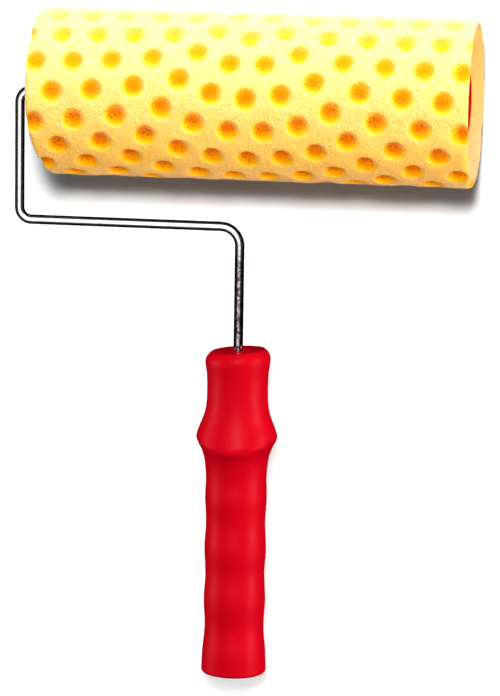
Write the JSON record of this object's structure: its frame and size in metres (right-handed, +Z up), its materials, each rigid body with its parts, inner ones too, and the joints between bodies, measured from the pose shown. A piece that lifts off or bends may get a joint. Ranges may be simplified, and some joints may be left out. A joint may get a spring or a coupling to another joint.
{
  "type": "textured pattern roller",
  "caption": "Hand roller for textured paint patterns: a dimpled foam sleeve spins on a bent wire frame with a moulded handle and a pole socket.",
  "frame": {"origin": "bottom centre of the whole tool's box, as it lies on a flat surface on its sleeve and the end of its handle", "axes": "+X along the sleeve's axis away from the side arm, +Y from the handle towards the sleeve, +Z up"},
  "size_m": [0.1928, 0.2792, 0.0691],
  "materials": {
    "foam": "matte",
    "wire": "polished",
    "grip": "gloss",
    "hub": "satin",
    "core": "satin",
    "bush": "satin",
    "spring_steel": "satin"
  },
  "bodies": {
    "frame": {"wire_frame": "wire", "handle_grip": "grip", "arm_side_stop": "spring_steel", "arm_side_washer": "spring_steel", "free_side_washer": "spring_steel", "retaining_cap": "spring_steel"},
    "roller": {"foam_cover": "foam", "core_tube": "core", "arm_side_hub": "hub", "free_side_hub": "hub", "arm_side_bush": "bush", "free_side_bush": "bush"}
  },
  "joints": [
    {"name": "roller_spin", "type": "hinge", "parent": "frame", "child": "roller", "pos_m": [0.0064, 0.10512, 0.03457], "axis": [1, 0, 0], "continuous": true}
  ]
}
